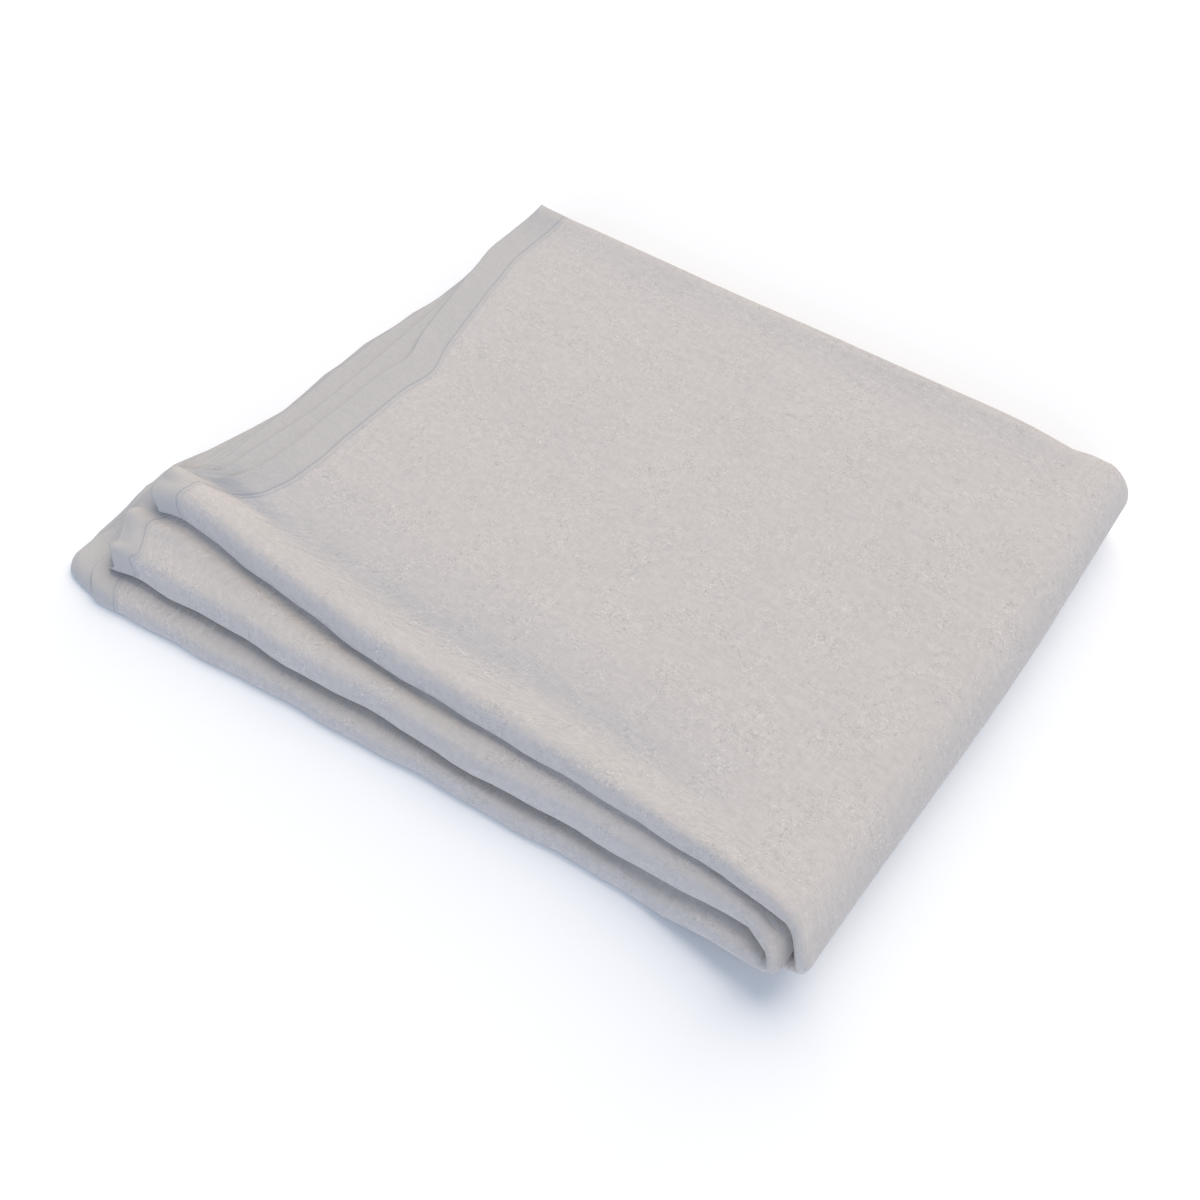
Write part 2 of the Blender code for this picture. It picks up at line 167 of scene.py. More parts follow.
# u of the hem edges at v, for some depths in the pile; the plies between lie evenly.
UPPER_HEM_PLAN = SmoothTable(
    ("v", "0", "1", "2", "5", "6", "11"),
    (
        (-0.070, 0.000, 0.002, 0.004, 0.004, 0.0160, -0.006),
        (-0.063, 0.000, 0.002, 0.004, 0.004, 0.0080, -0.007),
        (-0.0575, 0.000, 0.002, 0.004, 0.004, -0.0005, -0.010),
        (-0.0545, 0.000, 0.002, 0.004, 0.003, -0.0075, -0.013),
        (-0.048, 0.000, 0.002, 0.004, 0.003, -0.0060, -0.014),
        (-0.042, 0.000, 0.002, 0.004, 0.002, -0.0100, -0.017),
        (-0.036, 0.000, 0.002, 0.004, 0.001, -0.0155, -0.021),
        (-0.028, 0.000, 0.002, 0.003, -0.001, -0.0225, -0.026),
        (-0.0185, -0.0030, -0.001, 0.002, -0.003, -0.0205, -0.026),
        (-0.0135, -0.0115, -0.008, -0.003, -0.008, -0.0185, -0.026),
        (-0.0065, -0.0140, -0.011, -0.006, -0.011, -0.0185, -0.026),
        (0.005, -0.0135, -0.011, -0.007, -0.013, -0.0195, -0.027),
        (0.0135, -0.0100, -0.009, -0.006, -0.012, -0.0190, -0.027),
        (0.0185, 0.0100, 0.008, 0.002, -0.010, -0.0160, -0.026),
        (0.026, 0.0250, 0.0165, 0.006, -0.008, -0.0140, -0.025),
        (0.041, 0.0350, 0.0202, 0.008, -0.006, -0.0110, -0.021),
        (0.068, 0.0403, 0.0212, 0.008, -0.003, -0.0060, -0.013),
        (0.097, 0.0385, 0.0250, 0.008, 0.001, -0.0010, -0.009),
        (0.140, 0.0382, 0.0230, 0.005, -0.002, -0.0050, -0.012),
        (0.163, 0.0378, 0.0222, 0.004, -0.002, -0.0045, -0.012),
        (0.178, 0.0405, 0.0210, 0.004, -0.002, -0.0045, -0.012),
        (0.212, 0.0295, 0.0180, 0.006, -0.001, -0.0035, -0.012),
        (0.246, 0.0208, 0.0145, 0.0085, 0.001, -0.0015, -0.010),
        (0.271, 0.0134, 0.0115, 0.0100, 0.0045, 0.0025, -0.007),
        (0.295, 0.0080, 0.0070, 0.0060, 0.0030, 0.0010, -0.007),
        (0.318, 0.0025, 0.0020, 0.0015, -0.0010, -0.0040, -0.012),
        (0.349, -0.0003, -0.0012, -0.0025, -0.0080, -0.0105, -0.018),
        (0.386, -0.0008, -0.0022, -0.0040, -0.0095, -0.0120, -0.020),
        (0.410, -0.0008, -0.0022, -0.0040, -0.0095, -0.0120, -0.020),
    ),
)
LOWER_HEM_PLAN = SmoothTable(
    ("v", "0", "6", "11"),
    (
        (-0.084, -0.010, 0.0040, 0.0040),
        (-0.078, -0.010, -0.0070, -0.0050),
        (-0.070, -0.012, -0.0135, -0.0115),
        (-0.056, -0.014, -0.0170, -0.0135),
        (-0.048, -0.016, -0.0245, -0.0157),
        (-0.040, -0.018, -0.0345, -0.0180),
        (-0.034, -0.019, -0.0405, -0.0200),
        (-0.020, -0.022, -0.0405, -0.0240),
        (0.005, -0.025, -0.0410, -0.0265),
        (0.024, -0.026, -0.0400, -0.0260),
        (0.056, -0.024, -0.0310, -0.0200),
        (0.095, -0.018, -0.0215, -0.0130),
        (0.140, -0.020, -0.0235, -0.0160),
        (0.190, -0.022, -0.0250, -0.0170),
        (0.256, -0.018, -0.0205, -0.0120),
        (0.285, -0.021, -0.0165, -0.0095),
        (0.330, -0.026, -0.0235, -0.0175),
        (0.410, -0.031, -0.0300, -0.0230),
    ),
)

# Thickness of the cloth at a distance from its hem edge, both in millimetres: the folded
# edge, the three layers of the hem, the groove of the stitching and the turned-in edge.
HEM_PROFILE = SmoothTable(
    ("distance", "thickness"),
    (
        (0.0, 0.25),
        (0.25, 0.80),
        (0.8, 1.15),
        (2.0, 1.30),
        (8.0, 1.34),
        (19.0, 1.30),
        (22.0, 1.22),
        (23.6, 1.00),
        (24.4, 0.62),
        (25.2, 0.96),
        (26.4, 1.12),
        (27.2, 1.00),
        (28.0, 0.66),
        (29.4, 0.55),
        (31.0, 0.55),
    ),
)
SEAM_FROM_EDGE = 0.0244


@dataclass(frozen=True)
class Pile:
    """Sizes of the pile of plies and of its fold in half, in metres."""

    ply_order: tuple[int, ...] = (11, 6, 5, 0, 1, 4, 7, 10, 9, 8, 3, 2)
    plies_per_bundle: int = 6
    pitch: float = 0.00175
    bundle_gap: float = 0.0009
    spine_radius: float = 0.023
    spine_u: float = 0.5144
    spine_bow: float = 0.0120
    spine_bow_from: float = 0.275
    spine_bow_length: float = 0.330
    spine_blend: float = 0.080
    roll_drop_length: float = 0.040
    roll_drop_start: float = 0.005
    middle_roll_lift: float = 0.1
    middle_roll_puff: float = 0.45
    front_fall: float = 0.0042
    front_fall_length: float = 0.070
    crest_rise_at_hem: float = 0.0010
    crest_place: float = 1.1
    crest_width: float = 0.012
    valley_depth: float = 0.0019
    valley_loss_at_hem: float = 0.0014
    valley_behind_crest: float = 0.0165
    valley_width: float = 0.012
    valley_end_u: float = 0.360
    valley_end_length: float = 0.110
    crease_depth: float = 0.0036
    crease_rise: float = 0.010
    crease_end_u: float = 0.010
    crease_end_length: float = 0.110
    hem_end_u: float = 0.020
    hem_end_length: float = 0.130
    dent_under_middle: float = 0.0010
    dent_before: tuple[float, float] = (0.0040, 1.6)
    dent_floor: float = 0.006
    dent_behind: float = 0.026
    cuff_fall: float = 0.0040
    cuff_length: float = 0.024
    back_rise: float = 0.0032
    back_rise_length: float = 0.038
    middle_end_fall: float = 0.0045
    middle_end_length: float = 0.013
    end_blend: float = 0.010
    sag_ends: float = 0.035
    tip_pinch: float = 0.45
    tip_u: float = -0.045
    tip_length: float = 0.030

    @property
    def bundle(self) -> float:
        """Height of a bundle of plies."""
        return self.plies_per_bundle * self.pitch

    @property
    def core_radius(self) -> float:
        """Radius left free inside the spine."""
        return self.spine_radius - 2 * self.bundle - self.bundle_gap

    @property
    def last_outer(self) -> int:
        """Depth of the innermost ply of the outer bundle."""
        return self.plies_per_bundle - 1

    @property
    def last(self) -> int:
        """Depth of the innermost ply of all."""
        return 2 * self.plies_per_bundle - 1

    def spine_axis(self, v: Array) -> Array:
        """u of the axis that the plies turn round; it falls back towards the front."""
        bow = smooth((self.spine_bow_from - v) / self.spine_bow_length)
        return self.spine_u - self.spine_radius - self.spine_bow * bow

    def turn_radius(self, depth: Array) -> Array:
        """Radius of a ply round the spine's axis."""
        inward = (depth + 0.5) * self.pitch
        return self.spine_radius - inward - self.bundle_gap * smooth(depth - self.last_outer)

    def _dent(self, v: Array, lip: Array, depth: Array) -> Array:
        """Dent of the given depth in the bundle that a roll's lip at v rests on."""
        fixed, times = self.dent_before
        before = smooth((v - lip) / (fixed + times * depth) + 1)
        behind = 1 - smooth((v - lip - self.dent_floor) / self.dent_behind)
        return depth * before * behind

    def _top_relief(self, u: Array, v: Array) -> Array:
        """Height of the top roll's crest over the panel, less the valley and the crease behind it.

        The panel falls to the crest as a smooth step. The crease falls as a square from the crest
        and rises as a smooth step behind. The panel rises to the back edge as a square, because
        its folds there are springy.
        """
        near_hem = 1 - smooth((u - self.hem_end_u) / self.hem_end_length)
        crest_v = ROLL_PLAN.at(u, "top") + self.crest_place * ROLL_PLAN.at(u, "nose_top")
        crest = self.crest_rise_at_hem * near_hem * hump(v, crest_v, self.crest_width)
        before_spine = 1 - smooth((u - self.valley_end_u) / self.valley_end_length)
        valley_depth = self.valley_depth - self.valley_loss_at_hem * near_hem
        valley = valley_depth * hump(v, crest_v + self.valley_behind_crest, self.valley_width)
        fall = self.front_fall * (1 - smooth((v - crest_v) / self.front_fall_length))
        valley = (valley + fall) * before_spine
        crease_v = ROLL_PLAN.at(u, "crease")
        falling = np.clip((v - crest_v) / (crease_v - crest_v), 0, 1) ** 2
        rising = 1 - smooth((v - crease_v) / self.crease_rise)
        creased = 1 - smooth((u - self.crease_end_u) / self.crease_end_length)
        crease = self.crease_depth * creased * falling * rising
        end = UPPER_HEM_PLAN.at(v, "0")
        in_roll = 1 - smooth((v - crest_v) / self.end_blend)
        cuff = self.cuff_fall * (1 - smooth((u - end) / self.cuff_length)) * in_roll
        before_back = (ROLL_PLAN.at(u, "back") - v) / self.back_rise_length
        back = self.back_rise * np.clip(1 - before_back, 0, 1) ** 2
        return crest + back - valley - crease - cuff

    def _middle_end(self, u: Array, v: Array) -> Array:
        """Fall of the middle roll's top towards its hem, in front of the top roll."""
        end = UPPER_HEM_PLAN.at(v, "6")
        open_front = 1 - smooth((v - ROLL_PLAN.at(u, "top")) / self.end_blend + 0.5)
        return self.middle_end_fall * (1 - smooth((u - end) / self.middle_end_length)) * open_front

    def levels(self, u: Array, v: Array, axis: Array) -> dict[str, Array]:
        """Heights at which the bundles meet.

        In front of the under roll the others sink to the surface, the bottom roll fully and
        the middle roll by half. The lip of each roll dents the bundle under it, and the rolls'
        ends fall towards their hems.

        Args:
            u: Places from the hem side to the spine.
            v: Places from the front to the back.
            axis: u of the spine's axis at each place.

        Returns:
            The heights by name, near_spine, which is 1 at the spine, and sagging, which is 0
            there.
        """
        near_spine = smooth((u - axis) / self.spine_blend + 1)
        away = 1 - near_spine
        middle_gap = mix(self.bundle_gap, 2 * self.core_radius, near_spine)
        sunk = smooth((ROLL_PLAN.at(u, "under") + self.roll_drop_start - v) / self.roll_drop_length)
        drop = (self.bundle + self.bundle_gap) * sunk * away
        pinch = self.tip_pinch * (1 - smooth((u - self.tip_u) / self.tip_length)) * sunk
        bottom_foot = self.bundle - drop + self.bundle_gap
        bottom_top = bottom_foot + self.bundle * (1 - pinch)
        middle_foot = bottom_top + middle_gap
        pile_top = middle_foot + drop + 2 * self.bundle + self.bundle_gap
        under_middle = self._dent(v, ROLL_PLAN.at(u, "middle"), self.dent_under_middle) * away
        under_top = self._dent(v, ROLL_PLAN.at(u, "top"), ROLL_PLAN.at(u, "dent")) * away
        middle_top = middle_foot + self.bundle + self.middle_roll_puff * drop
        return {
            "under_top": self.bundle - drop,
            "bottom_foot": bottom_foot,
            "bottom_top": bottom_top - under_middle,
            "middle_foot": middle_foot - under_middle + self.middle_roll_lift * drop,
            "middle_top": middle_top - under_top - self._middle_end(u, v) * away,
            "pile_top": pile_top + away * self._top_relief(u, v),
            "near_spine": near_spine,
            "sagging": 1 - smooth((u - axis) / self.sag_ends + 1),
        }


@dataclass(frozen=True)
class Rolls:
    """Sizes of the rolls at the front and of the folds at the back, in metres."""

    under_nose: float = 0.008
    back_reach: float = 0.008
    smallest_front_reach: float = 0.0014
    smallest_back_reach: float = 0.0009
    sag: tuple[float, float] = (1.6, 1.3)
    ring_insets: tuple[tuple[float, ...], ...] = ((0.0, 0.010, 0.020), (0.0, 0.006, 0.014))
    tip_ring_insets: tuple[float, ...] = (0.0, -0.0245, -0.017)
    tip_rings_until: float = -0.055
    tip_rings_fade: float = 0.030
    tip_closing: float = 0.70
    tip_closing_until: float = 0.000
    tip_closing_fade: float = 0.040
    crease_depth: float = 0.002
    crease_turn: float = 1.9
    crease_width: float = 0.4
    back_setback: tuple[float, ...] = (
        0.0, 0.0, 0.009, 0.003, 0.003, 0.003, 0.003, 0.003, 0.003, 0.005, 0.005, 0.010,
    )

    def noses(self, u: Array, turn: Array) -> dict[str, Array]:
        """Middles and lengths of the noses of the outer and the inner rolls.

        Args:
            u: Places from the hem side to the spine.
            turn: Angle turned round the spine, 0 above and pi below.

        Returns:
            v of the outer and the inner roll's middle, and the lengths of their noses.
        """
        turned = (1 - np.cos(turn)) / 2
        outer_tip = mix(ROLL_PLAN.at(u, "top"), ROLL_PLAN.at(u, "under"), turned)
        outer_nose = mix(ROLL_PLAN.at(u, "nose_top"), self.under_nose, turned)
        inner_tip = mix(ROLL_PLAN.at(u, "middle"), ROLL_PLAN.at(u, "bottom"), turned)
        crease = self.crease_depth * hump(turn, self.crease_turn, self.crease_width)
        inner_nose = mix(ROLL_PLAN.at(u, "nose_middle"), ROLL_PLAN.at(u, "nose_bottom"), turned)
        return {
            "outer_middle": outer_tip + outer_nose,
            "outer_nose": outer_nose,
            "inner_middle": inner_tip + crease + inner_nose,
            "inner_nose": inner_nose,
        }


@dataclass(frozen=True)
class MeshLines:
    """Places of the mesh lines, in metres unless it says otherwise."""

    ply_length: float = 0.385
    fine_until: float = 0.040
    fine_step: float = 0.002
    medium_until: float = 0.080
    medium_step: float = 0.004
    top_rows_behind: int = 36
    hidden_rows: tuple[float, ...] = (
        0.0, 0.008, 0.016, 0.026, 0.040, 0.070, 0.105, 0.150, 0.195, 0.235, 0.270, 0.310, 0.385,
    )
    forward_rows: int = 4
    forward_rows_seen: int = 12
    fold_rows: tuple[int, ...] = (5, 9, 22)
    hem_columns_mm: tuple[float, ...] = (
        0.0, 0.25, 0.8, 2.0, 5.0, 10.0, 15.0, 19.5, 22.0, 23.2, 24.0, 24.4, 24.8, 25.6, 26.6, 27.4,
        28.2, 30.0, 36.0, 48.0,
    )
    body_columns: int = 34
    spine_columns: int = 24

    def along_ply(self, depth: int) -> Array:
        """Mesh lines of one ply, as shares of its length from the front."""
        if depth:
            return np.array(self.hidden_rows) / self.ply_length
        fine = np.arange(0.0, self.fine_until, self.fine_step)
        medium = np.arange(self.fine_until, self.medium_until, self.medium_step)
        rest = np.linspace(self.medium_until, self.ply_length, self.top_rows_behind)
        return np.concatenate([fine, medium, rest]) / self.ply_length


@dataclass
class Route:
    """The way of the sheet's length through the pile, one entry for each mesh line.

    depth: place in the pile; along: 0 at the front to 1 at the back; forward: 0 to 1 from the
    inner roll's middle to the outer roll's; swing: sine of the turn in a fold; radius: of that
    fold, in plies; end: -1 in a front fold and 1 in a back fold.
    """

    depth: Array
    along: Array
    forward: Array
    swing: Array
    radius: Array
    end: Array

    def ring(self, pile: Pile) -> Array:
        """Which of the nested folds of its bundle a mesh line belongs to: 0 is the outermost."""
        place = np.mod(self.depth, pile.plies_per_bundle)
        by_ply = np.minimum(place, pile.last_outer - place)
        widest = pile.last_outer / 2
        return np.where(self.end < 0, widest - self.radius, np.clip(by_ply, 0, 2)).round().astype(int)

    @classmethod
    def through(cls, pile: Pile, lines: MeshLines) -> "Route":
        """Work out the route: ply, fold, ply and so on, to and fro.

        Args:
            pile: The pile's sizes, which hold the order of its plies.
            lines: The places of the mesh lines.

        Returns:
            The route, each entry a column of numbers.
        """
        parts: list[Array] = []
        for number, depth in enumerate(pile.ply_order):
            to_front = number % 2 == 0
            parts.append(cls._ply(depth, to_front, pile, lines))
            if number < pile.last:
                parts.append(cls._fold(depth, pile.ply_order[number + 1], to_front, pile, lines))
        return cls(*np.concatenate(parts, axis=1)[:, :, None])

    @staticmethod
    def _ply(depth: int, to_front: bool, pile: Pile, lines: MeshLines) -> Array:
        """Entries of one flat ply."""
        along = lines.along_ply(depth)
        forward = np.ones_like(along)
        if depth > pile.last_outer:
            seen = depth in (pile.last_outer + 1, pile.last)
            count = lines.forward_rows_seen if seen else lines.forward_rows
            lead = np.linspace(0.0, 1.0, count, endpoint=False)
            along = np.concatenate([np.zeros(count), along])
            forward = np.concatenate([lead, forward])
        rows = np.stack([
            np.full_like(along, depth), along, forward,
            np.zeros_like(along), np.full_like(along, 0.5), np.zeros_like(along),
        ])
        return rows[:, ::-1] if to_front else rows

    @staticmethod
    def _fold(depth: int, following: int, at_front: bool, pile: Pile, lines: MeshLines) -> Array:
        """Entries of the half turn from one ply to the following one."""
        radius = abs(following - depth) / 2
        count = lines.fold_rows[int(radius)]
        turn = np.linspace(0.0, np.pi, count + 1)[1:-1]
        same = np.ones_like(turn)
        return np.stack([
            mix(depth, following, (1 - np.cos(turn)) / 2),
            same * (0.0 if at_front else 1.0),
            same * (0.0 if at_front and depth > pile.last_outer else 1.0),
            np.sin(turn),
            same * radius,
            same * (-1.0 if at_front else 1.0),
        ])


# Meshes


def grid_faces(rows: int, columns: int) -> Array:
    """Quads of a grid, facing along columns cross rows."""
    index = np.arange(rows * columns).reshape(rows, columns)
    corners = (index[:-1, :-1], index[:-1, 1:], index[1:, 1:], index[1:, :-1])
    return np.stack(corners, axis=-1).reshape(-1, 4)


def make_piece(name: str, points: Array, faces: Array, uv: Array) -> bpy.types.Object:
    """Put a surface into a smooth shaded mesh object at the origin.

    Args:
        name: The piece's name.
        points: Its points (n, 3) in metres.
        faces: Its quads (m, 4), facing outwards.
        uv: Place of each point on the cloth (n, 2) in metres.

    Returns:
        The object, linked to the scene.
    """
    mesh = bpy.data.meshes.new(name)
    mesh.vertices.add(len(points))
    mesh.vertices.foreach_set("co", points.astype(np.float32).ravel())
    mesh.loops.add(faces.size)
    mesh.loops.foreach_set("vertex_index", faces.astype(np.int32).ravel())
    mesh.polygons.add(len(faces))
    mesh.polygons.foreach_set("loop_start", np.arange(0, faces.size, 4, dtype=np.int32))
    mesh.update(calc_edges=True)
    layer = mesh.uv_layers.new(name="cloth_metres")
    layer.data.foreach_set("uv", uv[faces.ravel()].astype(np.float32).ravel())
    mesh.shade_smooth()
    mesh.validate()
    piece = bpy.data.objects.new(name, mesh)
    bpy.context.scene.collection.objects.link(piece)
    return piece


@dataclass
class FoldedCloth:
    """The folded sheet: its plan, its relief and its mesh."""

    pile: Pile = field(default_factory=Pile)
    rolls: Rolls = field(default_factory=Rolls)
    lines: MeshLines = field(default_factory=MeshLines)
    hem_wander: float = 0.0011
    hem_wander_length: float = 0.085
    hem_breathing: float = 0.00018
    hem_lift: float = 0.0011
    hem_lift_length: float = 0.012
    lip_wander: float = 0.0007
    panel_sway: float = 0.0005
    flat_size: tuple[float, float] = (1.05, 5.0)

    def __post_init__(self) -> None:
        """Work out the sheet's middle surface, its normals and its thickness."""
        self.route = Route.through(self.pile, self.lines)
        self.across, self.from_hem = self._columns()
        self.turn = np.pi * np.clip(self.across, 0, 1)
        self.inner = self.route.depth > (self.pile.last_outer + self.pile.plies_per_bundle) / 2
        self.points = self._middle_surface()
        self.normals = self._normals()
        self.thickness = self._thickness()

    def _columns(self) -> tuple[Array, Array]:
        """Mesh lines across the sheet.

        Returns:
            The place across: -1 to 0 over the upper half, 0 to 1 round the spine and 1 to 2
            over the lower half, and the distance from the nearer hem edge within the hem zone.
        """
        hem = np.array(self.lines.hem_columns_mm) * MM
        body = np.linspace(0.0, 1.0, self.lines.body_columns + 1)[1:]
        half = np.concatenate([np.zeros(len(hem)), body])
        near = np.concatenate([hem, np.full(len(body), hem[-1])])
        spine = np.linspace(0.0, 1.0, self.lines.spine_columns + 1)[1:-1]
        across = np.concatenate([half - 1.0, spine, 2.0 - half[::-1]])
        distance = np.concatenate([near, np.full(len(spine), hem[-1]), near[::-1]])
        return across[None, :], distance[None, :]

    def _hem_edge(self, v: Array, half: Half) -> Array:
        """u of the hem edge of each ply at v, with a little wander of its own."""
        plan = UPPER_HEM_PLAN if half is Half.UPPER else LOWER_HEM_PLAN
        depth = self.route.depth
        depths = [int(name) for name in plan.columns[1:]]
        edge = np.zeros(np.broadcast(depth, v).shape)
        for column, name in enumerate(plan.columns[1:]):
            nearness = np.interp(depth, depths, np.eye(len(depths))[column])
            edge = edge + nearness * plan.at(v, name)
        phase = 2.4 * depth + (0.0 if half is Half.UPPER else 1.3)
        wander = wave(v, self.hem_wander_length, phase)
        wander = wander + 0.5 * wave(v, 0.43 * self.hem_wander_length, 1.7 * phase)
        own = self.hem_wander * mix(0.3, 1.0, np.clip(depth / 3, 0, 1))
        return edge + own * wander + self._ring_inset(v, half)

    def _ring_inset(self, v: Array, half: Half) -> Array:
        """How far the inner folds of a roll end inside its outermost one at the hem side.

        In the bottom roll the second fold stands out of the first, as its pointed tip.
        """
        ring = self.route.ring(self.pile)
        if half is Half.LOWER:
            in_nose = 1 - smooth((v - self.rolls.tip_rings_until) / self.rolls.tip_rings_fade)
            return np.array(self.rolls.tip_ring_insets)[ring] * in_nose * self.inner
        outer, inner = (np.array(insets)[ring] for insets in self.rolls.ring_insets)
        at_hem = np.zeros(1)
        noses = self.rolls.noses(at_hem, at_hem)
        in_outer = smooth((noses["outer_middle"] - v) / noses["outer_nose"] + 0.5)
        in_inner = smooth((noses["inner_middle"] - v) / noses["inner_nose"] + 0.5)
        return np.where(self.inner, inner * in_inner, outer * in_outer)

    def _place_along(self, u: Array) -> Array:
        """v of each point at its u: between the roll's middle and the back, or in a fold."""
        route = self.route
        noses = self.rolls.noses(u, self.turn)
        depths = np.arange(self.pile.last + 1)
        back = ROLL_PLAN.at(u, "back")
        back = back - np.interp(route.depth, depths, self.rolls.back_setback)
        outermost = np.abs(route.depth - self.pile.last_outer - 0.5) < 3.2
        back = back - np.where(outermost, self.rolls.back_reach, self.rolls.smallest_back_reach)
        share = (route.radius - 0.5) / 2.0
        at_tip = 1 - smooth((u - self.rolls.tip_closing_until) / self.rolls.tip_closing_fade)
        closing = self.rolls.tip_closing * at_tip * self.inner * (self.turn > np.pi - 0.01)
        share = np.where(route.end < 0, 1 - (1 - share) * (1 - closing), share)
        own_nose = np.where(self.inner, noses["inner_nose"], noses["outer_nose"])
        front_reach = mix(self.rolls.smallest_front_reach, own_nose, share)
        back_reach = mix(self.rolls.smallest_back_reach, self.rolls.back_reach, share)
        front = mix(noses["inner_middle"], noses["outer_middle"], route.forward)
        reach = np.where(route.end < 0, -front_reach, back_reach)
        v = mix(front, back, route.along) + reach * route.swing
        lip_phase = np.where(self.inner, 2.1, 0.0) + self.turn
        lip = wave(u, 0.110, lip_phase) + 0.6 * wave(u, 0.047, 2.0 * lip_phase)
        return v + self.lip_wander * lip * (1 - route.along) ** 6

    def _place_across(self, v: Array) -> tuple[Array, Array]:
        """u of each point at its v, and u of the spine's axis there."""
        axis = self.pile.spine_axis(v)
        upper = self._half_line(self._hem_edge(v, Half.UPPER), axis, self.across + 1.0)
        lower = self._half_line(self._hem_edge(v, Half.LOWER), axis, 2.0 - self.across)
        round_spine = axis + self.pile.turn_radius(self.route.depth) * np.sin(self.turn)
        u = np.where(self.across < 0, upper, np.where(self.across > 1, lower, round_spine))
        return u, axis

    def _half_line(self, hem: Array, axis: Array, share: Array) -> Array:
        """u from the hem edge: first at fixed distances, then evenly up to the axis."""
        start = hem + self.from_hem
        return start + np.clip(share, 0, 1) * (axis - start)

    def _height_in_half(self, outer: tuple[Array, Array], inner: tuple[Array, Array], half: Half,
                        sag: Array) -> Array:
        """Height of each ply in one half.

        A bundle's plies share out the height between its foot and its top. Where a nose sags,
        a ply's share s becomes s to the power of 1 + sag.

        Args:
            outer: Foot and top of the outer bundle.
            inner: Foot and top of the inner bundle.
            half: Which half this is; in the upper one, depth runs downwards.
            sag: How much each point sags.

        Returns:
            The heights.
        """
        depth = self.route.depth
        count = self.pile.plies_per_bundle
        ends = (depth, np.full_like(depth, self.pile.last_outer), np.full_like(depth, count))
        heights = []
        for place, (foot, top) in zip(ends + ends[:1], (outer, outer, inner, inner)):
            share = (place + 0.5) / count - (1.0 if foot is inner[0] else 0.0)
            share = 1 - share if half is Half.UPPER else share
            heights.append(mix(foot, top, np.clip(share, 0, 1) ** (1 + sag)))
        in_outer, last_outer, first_inner, in_inner = heights
        between = mix(last_outer, first_inner, depth - self.pile.last_outer)
        return np.where(depth <= self.pile.last_outer, in_outer, np.where(depth >= count, in_inner, between))

    def _heights(self, u: Array, v: Array, axis: Array) -> Array:
        """z of each point; the noses of the rolls hang a little."""
        level = self.pile.levels(u, v, axis)
        noses = self.rolls.noses(u, self.turn)
        middle = np.where(self.inner, noses["inner_middle"], noses["outer_middle"])
        nose = np.where(self.inner, noses["inner_nose"], noses["outer_nose"])
        past = np.clip((middle - v) / nose, 0, 1) ** 2 * level["sagging"]
        outer_sag, inner_sag = self.rolls.sag
        upper = self._height_in_half(
            (level["middle_top"] + self.pile.bundle_gap, level["pile_top"]),
            (level["middle_foot"], level["middle_top"]),
            Half.UPPER, past * np.where(self.inner, inner_sag, outer_sag))
        lower = self._height_in_half(
            (0.0 * u, level["under_top"]),
            (level["bottom_foot"], level["bottom_top"]),
            Half.LOWER, past * np.where(self.inner, inner_sag, 0.0))
        turned = self.pile.turn_radius(self.route.depth) * np.cos(self.turn)
        z = np.where(self.across < 0, upper, np.where(self.across > 1, lower, turned))
        z = np.where((self.across >= 0) & (self.across <= 1), z + self.pile.spine_radius, z)
        return z + self._sway(u, v, z, level["near_spine"])

    def _sway(self, u: Array, v: Array, z: Array, near_spine: Array) -> Array:
        """Soft unevenness: the pile sways as one and the hems breathe one by one.

        The edges of the uppermost hems stand up a little behind the top roll.
        """
        share = z / (2 * self.pile.spine_radius)
        broad = wave(u + 0.4 * v, 0.230, 0.6) * wave(v - 0.3 * u, 0.170, 1.1)
        sway = self.panel_sway * broad * share * (1 - near_spine)
        near_hem = 1 - smooth(self.from_hem / 0.030)
        flat = np.abs(self.across - 0.5) > 0.5
        breath = wave(v, 0.060, 4.1 * self.route.depth) * np.where(flat, near_hem, 0.0)
        in_ply = self.route.end == 0
        inside = (self.route.depth > 0.9) * in_ply
        at_edge = 1 - smooth(self.from_hem / self.hem_lift_length)
        behind_roll = smooth((v - ROLL_PLAN.at(u, "crease")) / 0.012)
        free = (self.route.depth < 2.5) * in_ply * (self.across < 0) * behind_roll
        return sway + self.hem_breathing * breath * inside + self.hem_lift * at_edge * free

    def _middle_surface(self) -> Array:
        """Middle surface (along, across, xyz); u and v settle in a second pass."""
        from_spine = np.clip(-self.across, 0, 1) + np.clip(self.across - 1, 0, 1)
        start = self.pile.spine_u - self.pile.spine_radius
        u = start * (1 - from_spine) + self.pile.spine_radius / 2 * np.sin(self.turn)
        u = np.where(self.from_hem < max(self.lines.hem_columns_mm) * MM, self.from_hem, u)
        for _ in range(3):
            v = self._place_along(u)
            u, axis = self._place_across(v)
        z = self._heights(u, v, axis)
        return np.stack([u - PLAN_ORIGIN[0], v - PLAN_ORIGIN[1], z], axis=-1)

    def _normals(self) -> Array:
        """Normals of the middle surface: the step across cross the step along."""
        across = np.gradient(self.points, axis=1)
        along = np.gradient(self.points, axis=0)
        return unit(np.cross(across, along))

    def _thickness(self) -> Array:
        """Thickness of each point, from the hem's profile; the sheet's ends are hemmed too."""
        length = self.running_along()
        from_end = np.minimum(length, length[-1] - length)[:, None]
        distance = np.minimum(self.from_hem, from_end)
        return HEM_PROFILE.at(distance / MM, "thickness") * MM

    def running_along(self) -> Array:
        """Length along the sheet up to each mesh line, on a column in the upper half."""
        column = int(np.argmin(np.abs(self.across + 0.5)))
        return running_length(self.points[:, column])

    def running_across(self) -> Array:
        """Length across the sheet up to each mesh line, on the outermost ply."""
        row = int(np.argmin(np.abs(self.route.depth - 0.0) + np.abs(self.route.along - 0.5)))
        return running_length(self.points[row])

